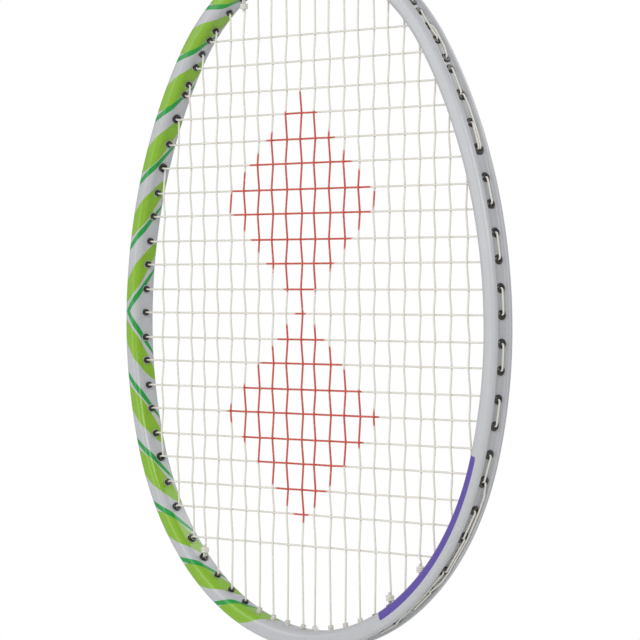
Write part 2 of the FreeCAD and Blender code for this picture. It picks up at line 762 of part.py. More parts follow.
def handle_body(out, start, top):
    """A flared octagonal bar: straight above the flare, wider towards the butt."""
    flare_top = BUTT_THICKNESS + FLARE_HEIGHT
    bottom = out + FLARE_OUT * (flare_top - start) / FLARE_HEIGHT
    flare = Part.makeLoft([octagon(bottom, start), octagon(out, flare_top)], True, True)
    bar = Part.Face(octagon(out, flare_top)).extrude(V(0, 0, top - flare_top))
    return flare.fuse(bar).removeSplitter()


def handle_core():
    """Wooden core with a spigot for the cone, the shaft's bore and the butt plate's socket."""
    body = handle_body(0.0, BUTT_THICKNESS, CORE_TOP)
    spigot = Part.makeCylinder(SPIGOT_DIAMETER / 2, SPIGOT_LENGTH, V(0, 0, CORE_TOP), UPWARD)
    bore = Part.makeCylinder(
        SHAFT_RADIUS + SHAFT_CLEARANCE, SHAFT_IN_HANDLE, V(0, 0, SHAFT_FOOT), UPWARD
    )
    socket = Part.makeCylinder(
        BUTT_STEM_DIAMETER / 2 + SPIGOT_CLEARANCE,
        BUTT_STEM_LENGTH + SPIGOT_CLEARANCE,
        V(0, 0, BUTT_THICKNESS),
        UPWARD,
    )
    return body.fuse(spigot).cut([bore, socket] + [tack_shank(x) for x in tack_places()])


def butt_plate():
    """Plastic plate over the butt, with a shallow round recess and a stem in the core."""
    outline = Part.Face(octagon(FLARE_OUT + BUTT_RIM, 0))
    plate = outline.extrude(V(0, 0, BUTT_THICKNESS))
    rim = [edge for edge in plate.Edges if edge.BoundBox.ZMax < 1e-6]
    plate = plate.makeFillet(BUTT_EDGE_RADIUS, rim)
    recess = Part.makeCylinder(BUTT_RECESS_DIAMETER / 2, BUTT_RECESS_DEPTH, V(0, 0, 0), UPWARD)
    stem = Part.makeCylinder(BUTT_STEM_DIAMETER / 2, BUTT_STEM_LENGTH, V(0, 0, BUTT_THICKNESS), UPWARD)
    return plate.cut(recess).fuse(stem)


def cone_cap():
    """Tapered plastic cap that closes the front of the handle round the shaft."""
    base = CONE_BASE_DIAMETER / 2
    bore = SHAFT_RADIUS + SHAFT_CLEARANCE
    tip = bore + CONE_TIP_WALL
    socket = SPIGOT_DIAMETER / 2 + SPIGOT_CLEARANCE
    socket_top = CORE_TOP + SPIGOT_LENGTH + SPIGOT_CLEARANCE
    top = CORE_TOP + CONE_LENGTH
    outside = [
        Part.LineSegment(V(socket, 0, CORE_TOP), V(base, 0, CORE_TOP)),
        Part.LineSegment(V(base, 0, CORE_TOP), V(base, 0, CORE_TOP + CONE_LIP)),
        Part.Arc(
            V(base, 0, CORE_TOP + CONE_LIP),
            V((base + tip) / 2 + CONE_BULGE, 0, (CORE_TOP + CONE_LIP + top) / 2),
            V(tip, 0, top),
        ),
        Part.LineSegment(V(tip, 0, top), V(bore, 0, top)),
        Part.LineSegment(V(bore, 0, top), V(bore, 0, socket_top)),
        Part.LineSegment(V(bore, 0, socket_top), V(socket, 0, socket_top)),
        Part.LineSegment(V(socket, 0, socket_top), V(socket, 0, CORE_TOP)),
    ]
    face = Part.Face(Part.Wire([piece.toShape() for piece in outside]))
    return face.revolve(V(0, 0, 0), UPWARD, 360)


def grip_band():
    """Soft band wound round the core, as the sleeve that its turns make."""
    top = CORE_TOP - GRIP_BELOW_CONE
    sleeve = handle_body(GRIP_THICKNESS, GRIP_START, top)
    core = handle_body(0.0, BUTT_THICKNESS, CORE_TOP)
    return sleeve.cut([core] + [tack_head(x) for x in tack_places()])


def finishing_tape():
    """Thin tape that holds the end of the grip band."""
    top = CORE_TOP - GRIP_BELOW_CONE - TAPE_BELOW_GRIP_END
    bottom = top - TAPE_WIDTH
    height = V(0, 0, TAPE_WIDTH)
    outside = Part.Face(octagon(GRIP_THICKNESS + TAPE_THICKNESS, bottom)).extrude(height)
    inside = Part.Face(octagon(GRIP_THICKNESS, bottom)).extrude(height)
    return outside.cut(inside)


def tack_places():
    return (-TACK_SPACING / 2, TACK_SPACING / 2)


def tack_seat():
    """How far back the core's rear flat is at the height of the tacks."""
    flare_top = BUTT_THICKNESS + FLARE_HEIGHT
    return CORE_DEPTH / 2 + FLARE_OUT * (flare_top - TACK_HEIGHT) / FLARE_HEIGHT


def tack_direction():
    """Square to the rear flat, which leans with the flare."""
    return V(0, FLARE_HEIGHT, FLARE_OUT).normalize()


def tack_shank(x):
    seat = V(x, tack_seat(), TACK_HEIGHT)
    return Part.makeCylinder(
        TACK_SHANK_DIAMETER / 2, TACK_LENGTH, seat - tack_direction() * TACK_LENGTH, tack_direction()
    )


def tack_head(x):
    seat = V(x, tack_seat(), TACK_HEIGHT)
    return Part.makeCylinder(TACK_HEAD_DIAMETER / 2, TACK_HEAD_HEIGHT, seat, tack_direction())


def grip_tacks():
    """Two tacks that hold the start of the grip band to the core."""
    return Part.makeCompound([tack_shank(x).fuse(tack_head(x)) for x in tack_places()])


# ---------------------------------------------------------------- the racket


def save(name, shape):
    if not shape.isValid():
        raise ValueError(name + " is not a valid shape")
    print("%-22s %2d solids %10.1f mm3" % (name, len(shape.Solids), shape.Volume))
    shape.exportStep("parts/%s.step" % name)


def main():
    os.makedirs("parts", exist_ok=True)
    outside = hoop_ring(hoop_section())
    cavity = hoop_ring(cavity_section())
    save("head_frame", head_frame(outside, cavity))
    save("grommets_cross_left", grommets(("cross",), -1))
    save("grommets_cross_right", grommets(("cross",), 1))
    save("grommets_main_top", grommets(("main_top",)))
    save("grommets_main_foot", grommets(("main_foot",)))
    save("grommets_shared_left", grommets(("shared",), -1))
    save("grommets_shared_right", grommets(("shared",), 1))
    save("grommets_clear_top", grommets(("clear_top",)))
    save("grommets_clear_foot", grommets(("clear_foot",)))
    save("grommets_tie_off", grommets(("tie_off",)))
    save("main_string", string_solid(main_route()))
    save("cross_string", string_solid(cross_route()))
    for string in ("main", "cross"):
        ties = [tie_hole(string + " start"), tie_hole(string + " end")]
        save(string + "_string_knots", Part.makeCompound([knot(hole) for hole in ties]))
    save("t_joint", t_joint(outside))
    save("t_joint_core", t_joint_core(cavity))
    save("shaft", shaft())
    save("cone_cap", cone_cap())
    save("handle_core", handle_core())
    save("butt_plate", butt_plate())
    save("grip_band", grip_band())
    save("finishing_tape", finishing_tape())
    save("grip_tacks", grip_tacks())


main()
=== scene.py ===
import math

import bmesh
import bpy
import numpy as np
from mathutils import Matrix, Vector


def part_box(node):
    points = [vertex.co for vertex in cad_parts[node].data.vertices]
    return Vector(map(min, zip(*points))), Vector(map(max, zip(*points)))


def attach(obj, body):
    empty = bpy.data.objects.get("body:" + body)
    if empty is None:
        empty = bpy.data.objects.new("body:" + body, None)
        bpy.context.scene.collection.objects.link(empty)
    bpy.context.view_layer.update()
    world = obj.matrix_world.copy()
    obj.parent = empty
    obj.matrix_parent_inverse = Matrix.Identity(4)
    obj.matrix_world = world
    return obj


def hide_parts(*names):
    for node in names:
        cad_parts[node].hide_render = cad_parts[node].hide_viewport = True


# The looks of a badminton racket. +Z is up the shaft and the front looks along -Y. Lengths are
# in millimetres, and MM turns them into the frame's metres. The studio's are in metres.

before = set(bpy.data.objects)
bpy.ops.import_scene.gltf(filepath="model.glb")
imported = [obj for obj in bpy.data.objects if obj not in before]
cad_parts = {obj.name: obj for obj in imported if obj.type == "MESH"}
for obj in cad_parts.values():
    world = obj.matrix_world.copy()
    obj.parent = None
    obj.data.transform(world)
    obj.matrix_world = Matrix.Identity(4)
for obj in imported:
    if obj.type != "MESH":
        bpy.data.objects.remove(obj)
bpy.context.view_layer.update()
MM = 0.001

# ---------------------------------------------------------------- sizes

HEAD_LOW, HEAD_HIGH = (np.array(corner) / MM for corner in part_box("head_frame"))

# Section of the hoop, in millimetres, as the CAD has it
HALF_WIDTH = 3.3
HALF_DEPTH = HEAD_HIGH[1]
INNER_CORNER = 2.2
OUTER_CORNER = 1.7
GROOVE_FLOOR = 1.9
GROOVE_HALF = 2.22
GROOVE_LEAN = 2.72
GROOVE_ROUND = 0.3

# The hoop's middle line: four tangent arcs a side
MIDDLE_WIDTH = HEAD_HIGH[0] - HALF_WIDTH
MIDDLE_TOP = HEAD_HIGH[2] - HALF_WIDTH
MIDDLE_FOOT = HEAD_LOW[2] + HALF_WIDTH
WIDEST = HEAD_LOW[2] + 115.5
TOP_ARC_TURN = 54.0
FOOT_ARC_TURN = 72.0

# Fineness of the hoop's mesh
STEP_ALONG = 0.6
STEP_AROUND = 0.55

# Handle
CORE_HALF_X = 12.8
CORE_HALF_Y = 11.5
CORE_BEVEL = 6.7
FLARE_FOOT = 2.6
FLARE_HEIGHT = 24.0
FLARE_OUT = 2.2
GRIP_PITCH = 23.0

# ---------------------------------------------------------------- colours, as sRGB


def linear(code):
    """A colour's linear values from its sRGB code."""
    channels = [int(code[i : i + 2], 16) / 255 for i in (0, 2, 4)]
    straight = [c / 12.92 if c <= 0.04045 else ((c + 0.055) / 1.055) ** 2.4 for c in channels]
    return (*straight, 1.0)


PEARL = linear("ABADB0")
LIME = linear("77A51C")
GREEN = linear("0A8A33")
VIOLET = linear("4F3B92")
INK = linear("B93E2B")
STRING_WHITE = linear("D2D0C9")
BLACK_NYLON = linear("1B1715")
CLEAR_NYLON = linear("E6E4DE")


# ---------------------------------------------------------------- node helpers


class Nodes:
    """A material being built: short calls that add a node and link its inputs."""

    def __init__(self, name):
        self.material = bpy.data.materials.new(name)
        self.material.use_nodes = True
        self.tree = self.material.node_tree
        self.shader = self.tree.nodes["Principled BSDF"]
        self.coordinates = self.tree.nodes.new("ShaderNodeTexCoord").outputs["Object"]

    def put(self, socket, value):
        if isinstance(value, bpy.types.NodeSocket):
            self.tree.links.new(value, socket)
        else:
            socket.default_value = value

    def math(self, operation, a, b=0.0, c=0.0, clamp=False):
        node = self.tree.nodes.new("ShaderNodeMath")
        node.operation = operation
        node.use_clamp = clamp
        for socket, value in zip(node.inputs, (a, b, c)):
            self.put(socket, value)
        return node.outputs[0]

    def mix(self, share, first, second):
        node = self.tree.nodes.new("ShaderNodeMix")
        node.data_type = "RGBA"
        self.put(node.inputs["Factor"], share)
        self.put(node.inputs["A"], first)
        self.put(node.inputs["B"], second)
        return node.outputs["Result"]

    def ramp(self, value, low, high, to_low=0.0, to_high=1.0):
        """value from low..high to to_low..to_high, held at the ends."""
        node = self.tree.nodes.new("ShaderNodeMapRange")
        for name, given in zip(
            ("Value", "From Min", "From Max", "To Min", "To Max"), (value, low, high, to_low, to_high)
        ):
            self.put(node.inputs[name], given)
        return node.outputs["Result"]

    def attribute(self, name):
        node = self.tree.nodes.new("ShaderNodeAttribute")
        node.attribute_name = name
        return node.outputs["Fac"]

    def noise(self, per_mm, detail=2.0, stretch=(1, 1, 1), vector=None):
        """Noise of this many waves a millimetre in the row frame."""
        node = self.tree.nodes.new("ShaderNodeTexNoise")
        node.inputs["Scale"].default_value = per_mm / MM
        node.inputs["Detail"].default_value = detail
        self.put(node.inputs["Vector"], self.scaled(stretch, vector))
        return node.outputs["Fac"]

    def cells(self, per_mm, output="Distance", stretch=(1, 1, 1), vector=None):
        node = self.tree.nodes.new("ShaderNodeTexVoronoi")
        node.inputs["Scale"].default_value = per_mm / MM
        self.put(node.inputs["Vector"], self.scaled(stretch, vector))
        return node.outputs[output]

    def scaled(self, stretch, vector=None):
        node = self.tree.nodes.new("ShaderNodeVectorMath")
        node.operation = "MULTIPLY"
        self.put(node.inputs[0], vector or self.coordinates)
        node.inputs[1].default_value = stretch
        return node.outputs[0]

    def parts(self, vector=None):
        """x, y and z of a vector; of the place in the row frame if none is given."""
        node = self.tree.nodes.new("ShaderNodeSeparateXYZ")
        self.put(node.inputs[0], vector or self.coordinates)
        return node.outputs

    def bump(self, height, distance_mm, strength=1.0):
        node = self.tree.nodes.new("ShaderNodeBump")
        node.inputs["Strength"].default_value = strength
        node.inputs["Distance"].default_value = distance_mm * MM
        self.put(node.inputs["Height"], height)
        self.put(self.shader.inputs["Normal"], node.outputs["Normal"])

    def finish(self, **sockets):
        """Sets the shader's inputs by name, with _ for a space, and gives the material."""
        for name, value in sockets.items():
            self.put(self.shader.inputs[name.replace("_", " ")], value)
        return self.material


# ---------------------------------------------------------------- the hoop


def arc_pair(width, height, turn):
    """Radii of the two tangent arcs from the axis (with this turn) to the widest line."""
    sine, cosine = math.sin(math.radians(turn)), math.cos(math.radians(turn))
    scale = sine + cosine - 1
    near_axis = (width * cosine - height * (1 - sine)) / scale
    near_side = (height * sine - width * (1 - cosine)) / scale
    return near_axis, near_side


def hoop_arcs():
    """The right half, from the top: (radius, centre x, centre z, first turn, last turn)."""
    top, upper = arc_pair(MIDDLE_WIDTH, MIDDLE_TOP - WIDEST, TOP_ARC_TURN)
    foot, lower = arc_pair(MIDDLE_WIDTH, WIDEST - MIDDLE_FOOT, FOOT_ARC_TURN)
    return [
        (top, 0.0, MIDDLE_TOP - top, 0.0, TOP_ARC_TURN),
        (upper, MIDDLE_WIDTH - upper, WIDEST, TOP_ARC_TURN, 90.0),
        (lower, MIDDLE_WIDTH - lower, WIDEST, 90.0, 180.0 - FOOT_ARC_TURN),
        (foot, 0.0, MIDDLE_FOOT + foot, 180.0 - FOOT_ARC_TURN, 180.0),
    ]


ARCS = hoop_arcs()


def section_profile():
    """Points (outward, back) round the hoop's section, from the middle of its inner face by
    way of the front, with the distance round the section at each."""
    corners = [
        (-HALF_WIDTH, -HALF_DEPTH, INNER_CORNER),
        (HALF_WIDTH, -HALF_DEPTH, OUTER_CORNER),
        (HALF_WIDTH, -GROOVE_LEAN, GROOVE_ROUND),
        (GROOVE_FLOOR, -GROOVE_HALF, GROOVE_ROUND),
    ]
    corners += [(u, -v, radius) for u, v, radius in reversed(corners)]
    points = [np.array([-HALF_WIDTH, 0.0])]
    for index, (u, v, radius) in enumerate(corners):
        corner = np.array([u, v])
        before = corner - np.array(corners[index - 1][:2])
        after = np.array(corners[(index + 1) % len(corners)][:2]) - corner
        before /= np.linalg.norm(before)
        after /= np.linalg.norm(after)
        half = math.acos(max(-1.0, min(1.0, before @ after))) / 2
        centre = corner + (after - before) / np.linalg.norm(after - before) * radius / math.cos(half)
        start = corner - before * radius * math.tan(half) - centre
        sense = math.copysign(1.0, before[0] * after[1] - before[1] * after[0])
        count = max(3, round(2 * half * radius / STEP_AROUND))
        run = centre + start - points[-1]
        splits = max(1, round(np.linalg.norm(run) / STEP_AROUND))
        points += [points[-1] + run * step / splits for step in range(1, splits)]
        for step in range(count + 1):
            angle = sense * 2 * half * step / count
            turned = Matrix.Rotation(angle, 2) @ Vector(start)
            points.append(centre + np.array(turned))
    run = points[0] - points[-1]
    splits = max(1, round(np.linalg.norm(run) / STEP_AROUND))
    points += [points[-1] + run * step / splits for step in range(1, splits)]
    points = np.array(points)
    steps = np.linalg.norm(np.diff(points, axis=0), axis=1)
    return points, np.concatenate([[0.0], np.cumsum(steps)])


PROFILE, PROFILE_ROUND = section_profile()
PERIMETER = PROFILE_ROUND[-1] + np.linalg.norm(PROFILE[0] - PROFILE[-1])


def hoop_stations():
    """Right-half stations (arc, turn), evenly spaced along the middle line, top to foot."""
    stations = []
    for arc in ARCS:
        radius, _, _, first, last = arc
        count = round(radius * math.radians(last - first) / STEP_ALONG)
        stations += [(arc, first + (last - first) * step / count) for step in range(count)]
    return stations + [(ARCS[-1], 180.0)]


def hoop_rings():
    """Every station's ring of points: down the right half and back up the left."""
    rings = []
    stations = [(arc, turn, 1.0) for arc, turn in hoop_stations()]
    stations += [(arc, turn, -1.0) for arc, turn, _ in stations[-2:0:-1]]
    for (radius, centre_x, centre_z, _, _), turn, side in stations:
        angle = math.radians(turn)
        away = radius + PROFILE[:, 0]
        x = side * (centre_x + away * math.sin(angle))
        z = centre_z + away * math.cos(angle)
        rings.append(np.stack([x, PROFILE[:, 1], z], axis=1))
    return np.array(rings)


def closed_grid_faces(rows, columns, wrap_rows=True):
    """Quads of a grid whose columns close on themselves, and whose rows do too if asked."""
    faces = []
    for row in range(rows if wrap_rows else rows - 1):
        following = (row + 1) % rows
        for column in range(columns):
            beside = (column + 1) % columns
            near, far = row * columns, following * columns
            faces.append((near + column, near + beside, far + beside, far + column))
    return faces


def new_piece(name, vertices, faces, smooth_below=40.0):
    """A mesh piece from points in millimetres, shaded smooth but for its sharp edges."""
    mesh = bpy.data.meshes.new(name)
    mesh.from_pydata((np.array(vertices) * MM).tolist(), [], [tuple(face) for face in faces])
    turned = bmesh.new()
    turned.from_mesh(mesh)
    bmesh.ops.recalc_face_normals(turned, faces=turned.faces)
    turned.to_mesh(mesh)
    turned.free()
    mesh.shade_smooth()
    mesh.set_sharp_from_angle(angle=math.radians(smooth_below))
    piece = bpy.data.objects.new(name, mesh)
    bpy.context.scene.collection.objects.link(piece)
    return piece


def points_of(piece):
    """A mesh's vertices in millimetres."""
    found = np.zeros(len(piece.data.vertices) * 3, np.float32)
    piece.data.vertices.foreach_get("co", found)
    return found.reshape(-1, 3).astype(float) / MM


def on_hoop(points):
    """Where points are on the hoop: distance along from the top (left negative), outward, back."""
    across, height = np.abs(points[:, 0]), points[:, 2]
    along = np.zeros(len(points))
    outward = np.full(len(points), 1e9)
    travelled = 0.0
    for radius, centre_x, centre_z, first, last in ARCS:
        turn = np.degrees(np.arctan2(across - centre_x, height - centre_z)) % 360
        here = (turn >= first - 1e-6) & (turn <= last + 1e-6) & (outward > 1e8)
        away = np.hypot(across - centre_x, height - centre_z)
        outward[here] = away[here] - radius
        along[here] = travelled + radius * np.radians(turn[here] - first)
        travelled += radius * math.radians(last - first)
    return np.where(points[:, 0] < 0, -along, along), outward, points[:, 1]


def round_section(outward, back):
    """Distance round the section from the middle of the inner face: negative by the front."""
    ends = np.roll(PROFILE, -1, axis=0)
    best = np.full(len(outward), 1e9)
    place = np.zeros(len(outward))
    for start, end, travelled in zip(PROFILE, ends, PROFILE_ROUND):
        run = end - start
        length = np.linalg.norm(run)
        offset = np.stack([outward, back], axis=1) - start
        share = np.clip(offset @ run / length**2, 0, 1)
        gap = np.linalg.norm(offset - share[:, None] * run, axis=1)
        nearer = gap < best
        best[nearer] = gap[nearer]
        place[nearer] = travelled + share[nearer] * length
    return -np.where(place > PERIMETER / 2, place - PERIMETER, place)


def islands(piece):
    """The vertex numbers of each loose solid of a node."""
    points = np.round(points_of(piece) * 1000).astype(np.int64)
    _, same = np.unique(points, axis=0, return_inverse=True)
    same = same.reshape(-1)
    parent = np.arange(same.max() + 1)
    edges = np.zeros(len(piece.data.edges) * 2, np.int32)
    piece.data.edges.foreach_get("vertices", edges)
    ends = same[edges.reshape(-1, 2)]
    while True:
        low = np.minimum(parent[ends[:, 0]], parent[ends[:, 1]])
        before = parent.copy()
        np.minimum.at(parent, ends[:, 0], low)
        np.minimum.at(parent, ends[:, 1], low)
        parent = parent[parent]
        if np.array_equal(before, parent):
            break
    labels = parent[same]
    return [np.flatnonzero(labels == label) for label in np.unique(labels)]


def grommet_axes():
    """Inner end, outer end and radius of every grommet's barrel, in millimetres."""
    found = []
    for name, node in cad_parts.items():
        if not name.startswith("grommets"):
            continue
        points = points_of(node)
        for island in islands(node):
            own = points[island]
            _, outward, _ = on_hoop(own)
            inner = own[outward < outward.min() + 0.4]
            outer = own[outward > outward.max() - 0.05]
            start, end = (inner.min(0) + inner.max(0)) / 2, (outer.min(0) + outer.max(0)) / 2
            found.append((start, end, np.linalg.norm(inner - start, axis=1).max()))
    return found


GROMMETS = grommet_axes()


def drills():
    """One object with a cylinder for each hole of the hoop."""
    made = bmesh.new()
    for start, end, radius in GROMMETS:
        axis = Vector(end - start)
        middle = Vector((start + end) / 2)
        place = Matrix.Translation(middle) @ axis.to_track_quat("Z", "Y").to_matrix().to_4x4()
        bmesh.ops.create_cone(
            made,
            cap_ends=True,
            segments=32,
            radius1=radius + 0.03,
            radius2=radius + 0.03,
            depth=axis.length + 4.0,
            matrix=place,
        )
    mesh = bpy.data.meshes.new("drills")
    bmesh.ops.scale(made, vec=(MM, MM, MM), verts=made.verts)
    made.to_mesh(mesh)
    made.free()
    cutter = bpy.data.objects.new("drills", mesh)
    bpy.context.scene.collection.objects.link(cutter)
    return cutter


def cut_away(piece, cutter):
    """Takes the cutter out of a piece and removes it."""
    modifier = piece.modifiers.new("holes", "BOOLEAN")
    modifier.operation = "DIFFERENCE"
    modifier.solver = "MANIFOLD"
    modifier.object = cutter
    graph = bpy.context.evaluated_depsgraph_get()
    cut = bpy.data.meshes.new_from_object(piece.evaluated_get(graph))
    piece.modifiers.clear()
    piece.data = cut
    bpy.data.objects.remove(cutter)


# ---------------------------------------------------------------- paint on the hoop


# Painted ribbons on the left half: slanting stripes at an even pitch, which the lower half
# mirrors. Up is the distance from the mirror line along the hoop, and around is measured round
# the section from the middle of the inner face, negative by way of the front.
MIRROR_HEIGHT = 545.0
RIBBON_COUNT = 6
FIRST_RIBBON = 14.0
RIBBON_PITCH = 25.0
RIBBON_LEAN = 24.0  # how much further up a ribbon ends on the inner face than it starts on the lip
RIBBON_STEEPNESS = 0.6  # distance across a ribbon for each millimetre along the hoop
LIP_AROUND = -13.0
INNER_AROUND = 4.6
LIME_WIDTH = 11.0
LIME_GROWTH = 0.10  # by which each ribbon is wider than the one before it
GREEN_WIDTH = 3.2
GREEN_GAP = 8.5  # from the middle of a lime ribbon to the green one below it
VIOLET_START = 226.0  # along the hoop from its top
VIOLET_END = 304.0
VIOLET_LOW = -7.5
VIOLET_HIGH = -3.0
VIOLET_TAPER = 0.3


def ribbon(up, around, place, width):
    """How far inside a slanting ribbon each place is; it narrows to a point at both ends."""
    share = np.clip((around - LIP_AROUND) / (INNER_AROUND - LIP_AROUND), 0, 1)
    middle = place + RIBBON_LEAN * (share - 0.5)
    half = width / 2 * np.sin(math.pi * share) ** 0.6
    return (half - np.abs(up - middle)) * RIBBON_STEEPNESS


def largest(fields):
    return np.max(np.stack(fields), axis=0)


def paint_fields(along, around, height):
    """Signed distances inside the lime and the green paint."""
    mirror = np.interp(MIRROR_HEIGHT, *height_table())
    up = np.where(height >= MIRROR_HEIGHT, along + mirror, -(along + mirror))
    lime, green = [], []
    for number in range(RIBBON_COUNT):
        place = FIRST_RIBBON + number * RIBBON_PITCH
        lime.append(ribbon(up, around, place, LIME_WIDTH * (1 + number * LIME_GROWTH)))
        green.append(ribbon(up, around, place - GREEN_GAP, GREEN_WIDTH))
    far = np.full(len(along), -9.0)
    left = along < 0
    return np.where(left, largest(lime), far), np.where(left, largest(green), far)


def height_table():
    """Heights of the middle line and the arc length at each, for interpolation."""
    heights, lengths = [], []
    travelled = 0.0
    for radius, _, centre_z, first, last in ARCS:
        for step in range(33):
            turn = first + (last - first) * step / 32
            heights.append(centre_z + radius * math.cos(math.radians(turn)))
            lengths.append(travelled + radius * math.radians(turn - first))
        travelled += radius * math.radians(last - first)
    return heights[::-1], lengths[::-1]


def violet_panel(along, around):
    """Signed distance inside the plain tapered panel on the front of the lower right quarter."""
    across = np.minimum(around - VIOLET_LOW, VIOLET_HIGH - around)
    ends = np.minimum(along - VIOLET_START, VIOLET_END - along) * VIOLET_TAPER
    return np.minimum(across, ends)


def hole_rims(points):
    """How far each place is from the nearest barrel's edge."""
    nearest = np.full(len(points), 99.0)
    for start, end, radius in GROMMETS:
        axis = (end - start) / np.linalg.norm(end - start)
        offset = points - start
        level = offset @ axis
        gap = np.linalg.norm(offset - level[:, None] * axis, axis=1) - radius
        nearest = np.where(np.abs(level) < HALF_WIDTH, np.minimum(nearest, gap), nearest)
    return nearest


def hoop():
    rings = hoop_rings()
    rows, columns = rings.shape[:2]
    piece = new_piece("hoop", rings.reshape(-1, 3), closed_grid_faces(rows, columns))
    cut_away(piece, drills())
    piece.data.shade_smooth()
    piece.data.set_sharp_from_angle(angle=math.radians(40))
    points = points_of(piece)
    along, outward, back = on_hoop(points)
    around = round_section(outward, back)
    lime, green = paint_fields(along, around, points[:, 2])
    for name, values in (
        ("lime", lime),
        ("green", green),
        ("violet", violet_panel(along, around)),
        ("rim", hole_rims(points)),
    ):
        made = piece.data.attributes.new(name, "FLOAT", "POINT")
        made.data.foreach_set("value", values.astype(np.float32))
    return piece


EDGE = 0.05  # millimetres over which one paint gives way to the next
RIM_WIDTH = 0.35  # bare ring round each hole


def pearl_flakes(nodes, colour):
    """The colour with the fine light and dark grain of a pearl lacquer."""
    flakes = nodes.cells(7.0, "Color")
    grain = nodes.ramp(nodes.parts(flakes)[0], 0.0, 1.0, 0.94, 1.05)
    cloud = nodes.ramp(nodes.noise(0.05), 0.3, 0.7, 0.98, 1.02)
    node = nodes.tree.nodes.new("ShaderNodeVectorMath")
    node.operation = "SCALE"
    nodes.put(node.inputs[0], colour)
    nodes.put(node.inputs["Scale"], nodes.math("MULTIPLY", grain, cloud))
    return node.outputs[0]


def lacquer(nodes, colour):
    """Gloss, coat and faint orange peel over a painted colour."""
    nodes.bump(nodes.noise(0.35, 3.0), 0.02, 0.25)
    return nodes.finish(
        Base_Color=pearl_flakes(nodes, colour),
        Metallic=0.0,
        Roughness=nodes.ramp(nodes.noise(1.5), 0.3, 0.7, 0.30, 0.40),
        Specular_IOR_Level=0.35,
        Coat_Weight=0.25,
        Coat_Roughness=0.12,
    )


def hoop_paint():
    nodes = Nodes("hoop_paint")
    colour = nodes.mix(nodes.ramp(nodes.attribute("lime"), -EDGE, EDGE), PEARL, LIME)
    colour = nodes.mix(nodes.ramp(nodes.attribute("green"), -EDGE, EDGE), colour, GREEN)
    colour = nodes.mix(nodes.ramp(nodes.attribute("violet"), -EDGE, EDGE), colour, VIOLET)
    bare = nodes.ramp(nodes.attribute("rim"), RIM_WIDTH - EDGE, RIM_WIDTH + EDGE, 1.0, 0.0)
    return lacquer(nodes, nodes.mix(bare, colour, PEARL))


# ---------------------------------------------------------------- strings and grommets

MARK_HEIGHTS = (585.0, 508.0)
MARK_HALF_HEIGHT = 39.5
MARK_HALF_WIDTH = 43.0
MARK_CENTRE = -4.0


def string_gut():
    """Off-white coated filament with a plain mark of two lozenges inked on the bed."""
    nodes = Nodes("string_gut")
    x, _, z = nodes.parts()
    twist = nodes.math("SINE", nodes.math("MULTIPLY", nodes.math("ADD", x, z), 2 * math.pi / (0.55 * MM)))
    distance = None
    for height in MARK_HEIGHTS:
        sideways = nodes.math("ABSOLUTE", nodes.math("SUBTRACT", x, MARK_CENTRE * MM))
        upward = nodes.math("ABSOLUTE", nodes.math("SUBTRACT", z, height * MM))
        sideways = nodes.math("DIVIDE", sideways, MARK_HALF_WIDTH * MM)
        upward = nodes.math("DIVIDE", upward, MARK_HALF_HEIGHT * MM)
        own = nodes.math("ADD", sideways, upward)
        distance = own if distance is None else nodes.math("MINIMUM", distance, own)
    ragged = nodes.math("ADD", distance, nodes.ramp(nodes.noise(0.6), 0.3, 0.7, -0.02, 0.02))
    ink = nodes.ramp(ragged, 0.985, 1.015, 1.0, 0.0)
    worn = nodes.math("MULTIPLY", ink, nodes.ramp(nodes.noise(1.2, 3.0), 0.25, 0.45, 0.75, 1.0))
    shade = nodes.ramp(nodes.noise(0.8), 0.3, 0.7)
    white = nodes.mix(shade, STRING_WHITE, linear("CBC8BE"))
    nodes.bump(twist, 0.012, 0.6)
    return nodes.finish(
        Base_Color=nodes.mix(worn, white, INK),
        Roughness=nodes.ramp(nodes.noise(2.0), 0.3, 0.7, 0.32, 0.45),
        Specular_IOR_Level=0.5,
        Subsurface_Weight=0.0,
    )


def black_nylon():
    nodes = Nodes("black_nylon")
    speck = nodes.noise(4.0, 3.0)
    nodes.bump(speck, 0.012, 0.3)
    return nodes.finish(
        Base_Color=nodes.mix(nodes.ramp(speck, 0.3, 0.7), BLACK_NYLON, linear("231D1A")),
        Roughness=nodes.ramp(nodes.noise(1.2), 0.3, 0.7, 0.22, 0.36),
        Specular_IOR_Level=0.6,
    )


def clear_nylon():
    nodes = Nodes("clear_nylon")
    cloud = nodes.noise(1.0)
    nodes.bump(nodes.noise(3.0), 0.01, 0.2)
    return nodes.finish(
        Base_Color=nodes.mix(nodes.ramp(cloud, 0.3, 0.7), CLEAR_NYLON, linear("DAD8D0")),
        Roughness=nodes.ramp(cloud, 0.3, 0.7, 0.18, 0.3),
        Transmission_Weight=0.35,
        IOR=1.5,
    )


# ---------------------------------------------------------------- shaft, joint and handle


def turned_angle(nodes):
    """Angle round the racket's axis, from 0 to 1."""
    x, y, _ = nodes.parts()
    return nodes.ramp(nodes.math("ARCTAN2", y, x), -math.pi, math.pi)


